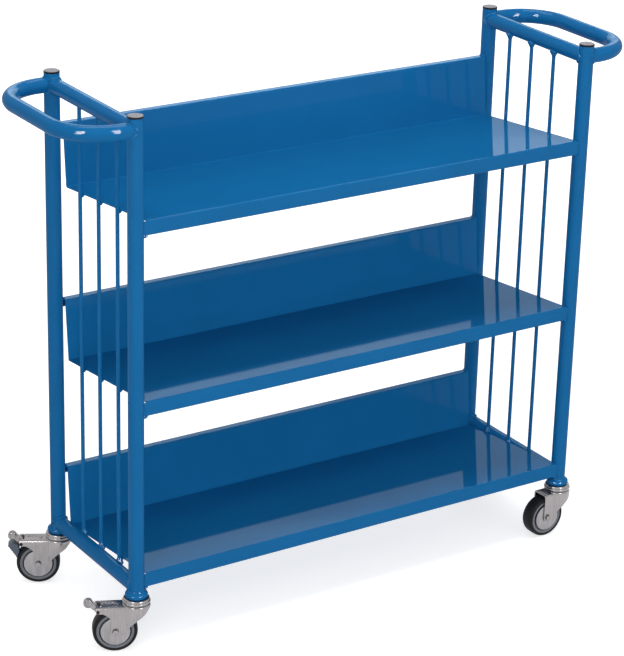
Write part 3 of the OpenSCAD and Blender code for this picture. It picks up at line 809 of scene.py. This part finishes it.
class TROLLEY_OT_stage(bpy.types.Operator):
    """Set the pale floor, the soft lamps and the camera"""
    bl_idname = "trolley.stage"
    bl_label = "Stage"

    def execute(self, context):
        scene = context.scene
        stage = settings("stage")
        scene.view_settings.view_transform = "Standard"
        self.floor(stage)
        self.surroundings(scene, stage)
        for name, place, aim, size, setting in SOFTBOXES:
            self.lamp(name, place, aim, size, getattr(stage, setting)).visible_glossy = False
        painted = self.painted_pieces()
        for side, place in SPARKS:
            spark = self.lamp(side + " spark", place, GLOSS_AIM, SPARK_SIZE, stage.spark)
            self.show_in_gloss(spark, painted)
            glint = self.lamp(side + " glint", place, GLOSS_AIM, GLINT_SIZE, stage.glint)
            self.show_in_gloss(glint)
        ceiling = self.lamp("Ceiling panel", CEILING_PLACE, GLOSS_AIM, CEILING_SIZE, stage.ceiling)
        self.show_in_gloss(ceiling, painted)
        self.rear_wall(stage, painted)
        self.camera(scene)
        return {"FINISHED"}

    def lamp(self, name, place, aim, size, power):
        data = bpy.data.lights.new(name, "AREA")
        data.shape = "RECTANGLE"
        data.size, data.size_y = size
        data.energy = power
        made = bpy.data.objects.new(name, data)
        made.location = place
        made.rotation_euler = (Vector(aim) - Vector(place)).to_track_quat("-Z", "Y").to_euler()
        bpy.context.scene.collection.objects.link(made)
        return made

    def painted_pieces(self):
        """The powder-coated pieces, which some lamps light alone."""
        painted = bpy.data.collections.new("Painted pieces")
        for piece in bpy.data.objects:
            if piece.type == "MESH" and piece.data.materials and "Blue" in piece.data.materials[0].name:
                painted.objects.link(piece)
        return painted

    def show_in_gloss(self, lamp, receivers=None):
        """Let a lamp be seen in the gloss alone, on all pieces or on those of one collection."""
        lamp.visible_diffuse = False
        lamp.light_linking.receiver_collection = receivers

    def rear_wall(self, stage, painted):
        """A wall behind the trolley that the paint mirrors and that gets brighter upwards in steps."""
        for away, foot, brightness in WALL_STEPS:
            tall = WALL_HEAD - foot
            height = (foot + WALL_HEAD) / 2
            place = (*(WALL_DIRECTION * away).xy, height)
            power = stage.wall * brightness * math.pi * WALL_WIDTH * tall
            step = self.lamp("Rear wall", place, (0, 0, height), (WALL_WIDTH, tall), power)
            step.data.color = WALL_TINT
            self.show_in_gloss(step, painted)

    def floor(self, stage):
        """A pale disc that keeps the trolley's shadow and fades to white away from it."""
        bm = bmesh.new()
        bmesh.ops.create_circle(bm, cap_ends=True, segments=64, radius=FLOOR_R)
        made = finish_mesh(bm, "floor")
        look = bpy.data.materials.new("Pale floor")
        look.use_nodes = True
        tree = look.node_tree
        shader = tree.nodes["Principled BSDF"]
        grain = node(tree, "ShaderNodeGroup", node_tree=grain_group())
        tint = node(tree, "ShaderNodeMix", data_type="RGBA")
        tint.inputs["A"].default_value = (*stage.floor, 1)
        tint.inputs["B"].default_value = (*scaled(stage.floor, 1.01), 1)
        tree.links.new(grain.outputs["Patches"], tint.inputs["Factor"])
        tree.links.new(tint.outputs["Result"], shader.inputs["Base Color"])
        shader.inputs["Roughness"].default_value = 0.9
        shader.inputs["Specular IOR Level"].default_value = 0.0
        shader.inputs["Emission Color"].default_value = (1, 1, 1, 1)
        away = node(tree, "ShaderNodeVectorMath", operation="LENGTH")
        tree.links.new(object_place(tree), away.inputs[0])
        fade = ramp(tree, away.outputs["Value"], *FLOOR_FADE, lowest=stage.glow, smooth=True)
        tree.links.new(product(tree, self.looked_at(tree), fade), shader.inputs["Emission Strength"])
        made.data.materials.append(look)

    def surroundings(self, scene, stage):
        """Even light from all round, and plain white where it is looked at."""
        world = bpy.data.worlds.new("White studio")
        world.use_nodes = True
        scene.world = world
        tree = world.node_tree
        back = tree.nodes["Background"]
        strength = ramp(tree, self.looked_at(tree), 0, 1, lowest=stage.sky)
        tree.links.new(strength, back.inputs["Strength"])
        back.inputs["Color"].default_value = (1, 1, 1, 1)

    def looked_at(self, tree):
        """1 where a camera ray, or a reflected or refracted one, meets the stage."""
        ray = node(tree, "ShaderNodeLightPath")
        total = ray.outputs["Is Camera Ray"]
        for kind in ("Is Glossy Ray", "Is Transmission Ray"):
            higher = node(tree, "ShaderNodeMath", operation="MAXIMUM")
            tree.links.new(total, higher.inputs[0])
            tree.links.new(ray.outputs[kind], higher.inputs[1])
            total = higher.outputs["Value"]
        return total

    def camera(self, scene):
        """The photo's view: turned from the rear to the right, tipped down, then rolled a little."""
        data = bpy.data.cameras.new("Photo view")
        data.lens = CAMERA_LENS
        data.sensor_width = CAMERA_SENSOR
        data.shift_x, data.shift_y = CAMERA_SHIFT
        flat = math.cos(CAMERA_TIP)
        ahead = Vector((math.sin(CAMERA_TURN) * flat, math.cos(CAMERA_TURN) * flat, -math.sin(CAMERA_TIP)))
        right = Vector((math.cos(CAMERA_TURN), -math.sin(CAMERA_TURN), 0))
        up = right.cross(ahead)
        across = right * math.cos(CAMERA_ROLL) + up * math.sin(CAMERA_ROLL)
        upright = up * math.cos(CAMERA_ROLL) - right * math.sin(CAMERA_ROLL)
        pose = Matrix((across, upright, -ahead)).transposed().to_4x4()
        pose.translation = CAMERA_PLACE
        made = bpy.data.objects.new("Photo view", data)
        made.matrix_world = pose
        scene.collection.objects.link(made)
        scene.camera = made


class TROLLEY_PT_panel(bpy.types.Panel):
    """The trolley's steps, in the order in which they are made"""
    bl_idname = "TROLLEY_PT_panel"
    bl_label = "Book Trolley"
    bl_space_type = "VIEW_3D"
    bl_region_type = "UI"
    bl_category = "Trolley"

    def draw(self, context):
        for step in STEPS:
            self.layout.operator(step.bl_idname)
        for group, held in GROUPS.items():
            column = self.layout.column()
            for name in group.__annotations__:
                column.prop(getattr(context.scene, held), name)


STEPS = (TROLLEY_OT_powder_coat, TROLLEY_OT_welds, TROLLEY_OT_caps, TROLLEY_OT_tyres,
         TROLLEY_OT_wheel_cores, TROLLEY_OT_metalwork, TROLLEY_OT_brakes, TROLLEY_OT_stage)
GROUPS = {TrolleyPaint: "trolley_paint", TrolleyPlate: "trolley_plate", TrolleyRubber: "trolley_rubber",
          TrolleyShape: "trolley_shape", TrolleyStage: "trolley_stage"}


def register():
    for group, name in GROUPS.items():
        bpy.utils.register_class(group)
        setattr(bpy.types.Scene, name, PointerProperty(type=group))
    for step in STEPS:
        bpy.utils.register_class(step)
    bpy.utils.register_class(TROLLEY_PT_panel)


def unregister():
    bpy.utils.unregister_class(TROLLEY_PT_panel)
    for step in reversed(STEPS):
        bpy.utils.unregister_class(step)
    for group, name in reversed(GROUPS.items()):
        delattr(bpy.types.Scene, name)
        bpy.utils.unregister_class(group)


def main():
    register()
    for step in STEPS:
        family, name = step.bl_idname.split(".")
        getattr(getattr(bpy.ops, family), name)()


if __name__ == "__main__":
    main()
